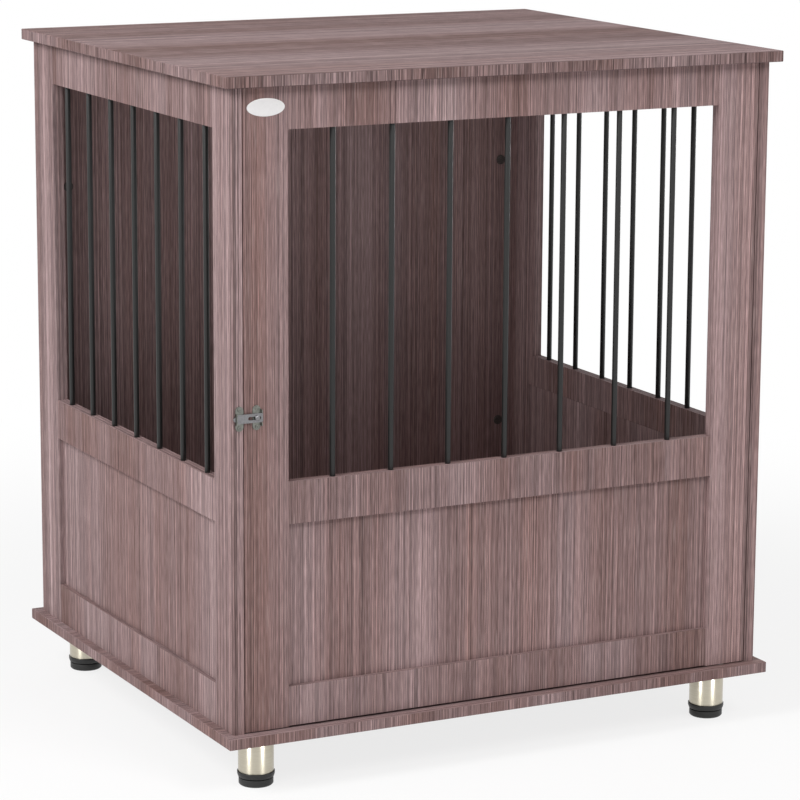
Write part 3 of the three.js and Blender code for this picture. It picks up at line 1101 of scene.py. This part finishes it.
@dataclass
class SoftLamp:
    """A rectangular lamp that the camera doesn't see."""

    name: str
    place: tuple[float, float, float]
    aim: tuple[float, float, float]
    width: float
    height: float
    watts: float
    only: tuple[str, ...] = ()
    spared: tuple[str, ...] = ()

    def build(self) -> None:
        """Hangs the lamp and aims it.

        A lamp with names in `only` lights just those pieces, and one with names in `spared` lights
        all but those.
        """
        data = bpy.data.lights.new(self.name, "AREA")
        data.shape = "RECTANGLE"
        data.size = self.width
        data.size_y = self.height
        data.energy = self.watts
        lamp = bpy.data.objects.new(self.name, data)
        lamp.location = self.place
        towards = Vector(self.aim) - Vector(self.place)
        lamp.rotation_euler = towards.to_track_quat("-Z", "Y").to_euler()
        lamp.visible_camera = False
        bpy.context.scene.collection.objects.link(lamp)
        if self.only or self.spared:
            linked = bpy.data.collections.new(f"{self.name}_links")
            for name in self.only + self.spared:
                linked.objects.link(bpy.data.objects[name])
            for member in linked.collection_objects:
                member.light_linking.link_state = "INCLUDE" if self.only else "EXCLUDE"
            lamp.light_linking.receiver_collection = linked


@dataclass
class Studio:
    """A white sweep, an even sky and soft lamps.

    The two high panels spare the boards that are seen from within the cabin, because they would
    light their feet through the windows. Two low fills light these boards instead, so that they
    darken downwards. The foot strips are for the legs' tubes alone, and give them their bands.
    """

    floor_size: float = 60.0
    sky: float = 0.36
    # The floor as the camera sees it, and as it lights the table.
    paper: str = "f4f4f4"
    bounce: str = "ececec"
    # The shadow's share at the table, and from where to where it fades.
    shadow_share: float = 0.2
    fade_from: float = 0.6
    fade_to: float = 1.6

    def shown_ray(self, tree: bpy.types.NodeTree) -> bpy.types.NodeSocket:
        """Makes a mask that is 1 for rays that show a background.

        Args:
            tree: The node tree of the world or the floor.

        Returns:
            1 for camera, glossy and transmission rays, otherwise 0.
        """
        path = add_node(tree, "ShaderNodeLightPath")
        first = add_node(
            tree,
            "ShaderNodeMath",
            {0: path.outputs["Is Camera Ray"], 1: path.outputs["Is Glossy Ray"]},
            operation="MAXIMUM",
        )
        both = add_node(
            tree,
            "ShaderNodeMath",
            {0: first.outputs[0], 1: path.outputs["Is Transmission Ray"]},
            operation="MAXIMUM",
        )
        return both.outputs[0]

    def world(self) -> None:
        """Makes the sky: white where it shows, dimmer where it lights."""
        world = bpy.data.worlds.new("studio_sky")
        bpy.context.scene.world = world
        world.use_nodes = True
        tree = world.node_tree
        tree.nodes.clear()
        lights = add_node(
            tree, "ShaderNodeBackground", values={"Color": WHITE, "Strength": self.sky}
        )
        shows = add_node(tree, "ShaderNodeBackground", values={"Color": WHITE, "Strength": 1.0})
        mixed = add_node(
            tree,
            "ShaderNodeMixShader",
            {0: self.shown_ray(tree), 1: lights.outputs[0], 2: shows.outputs[0]},
        )
        add_node(tree, "ShaderNodeOutputWorld", {0: mixed.outputs[0]})

    def floor(self) -> None:
        """Lays the floor: pale paper that keeps a soft shadow near the table and fades to white."""
        bm = bmesh.new()
        bmesh.ops.create_grid(bm, x_segments=1, y_segments=1, size=self.floor_size / 2)
        mesh = bpy.data.meshes.new("studio_floor")
        bm.to_mesh(mesh)
        bm.free()
        floor = bpy.data.objects.new("studio_floor", mesh)
        bpy.context.scene.collection.objects.link(floor)
        material = bpy.data.materials.new("white_paper_sweep")
        material.use_nodes = True
        tree = material.node_tree
        tree.nodes.clear()
        paper = add_node(tree, "ShaderNodeBsdfDiffuse", values={"Color": linear(self.paper)})
        bounce = add_node(tree, "ShaderNodeBsdfDiffuse", values={"Color": linear(self.bounce)})
        white = add_node(tree, "ShaderNodeEmission", values={"Color": WHITE})
        coords = add_node(tree, "ShaderNodeTexCoord")
        away = add_node(
            tree, "ShaderNodeVectorMath", {0: coords.outputs["Object"]}, operation="LENGTH"
        )
        near = add_node(
            tree,
            "ShaderNodeMapRange",
            {"Value": away.outputs["Value"]},
            {
                "From Min": self.fade_from,
                "From Max": self.fade_to,
                "To Min": self.shadow_share,
                "To Max": 0.0,
            },
            interpolation_type="SMOOTHSTEP",
        )
        seen = add_node(
            tree,
            "ShaderNodeMixShader",
            {0: near.outputs[0], 1: white.outputs[0], 2: paper.outputs[0]},
        )
        mixed = add_node(
            tree,
            "ShaderNodeMixShader",
            {0: self.shown_ray(tree), 1: bounce.outputs[0], 2: seen.outputs[0]},
        )
        add_node(tree, "ShaderNodeOutputMaterial", {0: mixed.outputs[0]})
        mesh.materials.append(material)

    def lamps(self) -> tuple[SoftLamp, ...]:
        """Lists the lamps.

        Returns:
            Each lamp with its place, aim, width, height, watts and the pieces that it lights.
        """
        middle = (0.0, 0.0, 0.38)
        foot = (0.0, -0.24, 0.04)
        tubes = tuple(f"{place}_nickel_tube" for place in LEG_PLACES)
        back = ("back_panel",)
        boards = ("rear_stile", "mid_rail", "bottom_rail", "panel")
        right = tuple(f"right_side_{board}" for board in boards)
        inner = back + right
        return (
            SoftLamp("left_panel", (-2.7, -0.7, 2.5), middle, 1.2, 1.6, 84.0, spared=inner),
            SoftLamp("front_panel", (0.6, -2.7, 2.8), middle, 1.2, 1.2, 46.0, spared=inner),
            SoftLamp("front_fill", (-0.9, -2.4, 0.45), (0.0, 0.27, 0.45), 3.0, 1.5, 12.0, back),
            SoftLamp("left_fill", (-2.8, -0.5, 1.0), (0.32, 0.0, 0.36), 2.0, 1.5, 27.0, right),
            SoftLamp("rear_panel", (2.7, 2.7, 0.44), (0.0, 0.0, 0.44), 1.8, 0.5, 30.0),
            SoftLamp("left_foot_strip", (-5.62, -2.34, 0.65), foot, 1.5, 1.3, 260.0, tubes),
            SoftLamp("front_foot_strip", (1.65, -6.0, 0.65), foot, 1.5, 1.3, 260.0, tubes),
        )

    def build(self) -> None:
        """Sets up the light, the floor and the colour handling."""
        bpy.context.scene.view_settings.view_transform = "Standard"
        self.world()
        self.floor()
        for lamp in self.lamps():
            lamp.build()


@dataclass
class ProductCamera:
    """The camera, where the corners of the table fit the photograph, for a square picture."""

    place: tuple[float, float, float] = (-1.65829, -3.26381, 1.10162)
    azimuth_deg: float = -27.1103
    elevation_deg: float = 11.6963
    roll_deg: float = 0.3026
    lens_mm: float = 147.6716
    sensor_mm: float = 36.0

    def build(self) -> None:
        """Sets up the camera and makes it the scene's."""
        azimuth = math.radians(self.azimuth_deg)
        elevation = math.radians(self.elevation_deg)
        back = Vector(
            (
                math.sin(azimuth) * math.cos(elevation),
                -math.cos(azimuth) * math.cos(elevation),
                math.sin(elevation),
            )
        )
        data = bpy.data.cameras.new("product_camera")
        data.sensor_width = self.sensor_mm
        data.lens = self.lens_mm
        camera = bpy.data.objects.new("product_camera", data)
        aim = (-back).to_track_quat("-Z", "Y").to_matrix().to_4x4()
        turned = aim @ Matrix.Rotation(math.radians(self.roll_deg), 4, "Z")
        camera.matrix_world = Matrix.Translation(self.place) @ turned
        bpy.context.scene.collection.objects.link(camera)
        bpy.context.scene.camera = camera


def main() -> None:
    """Builds the camera, the table's finishes and fittings, and the studio."""
    logging.basicConfig(level=logging.INFO, format="%(name)s: %(message)s")
    ProductCamera().build()
    Boards().build()
    WindowRods().build()
    nickel = SATIN_NICKEL.make()
    plastic = POLYPROPYLENE.make()
    for place in LEG_PLACES:
        Leg(place).build(nickel, plastic)
    SlideLatch().build()
    CamLocks().build()
    OvalPlate().build()
    Studio().build()


if __name__ == "__main__":
    main()
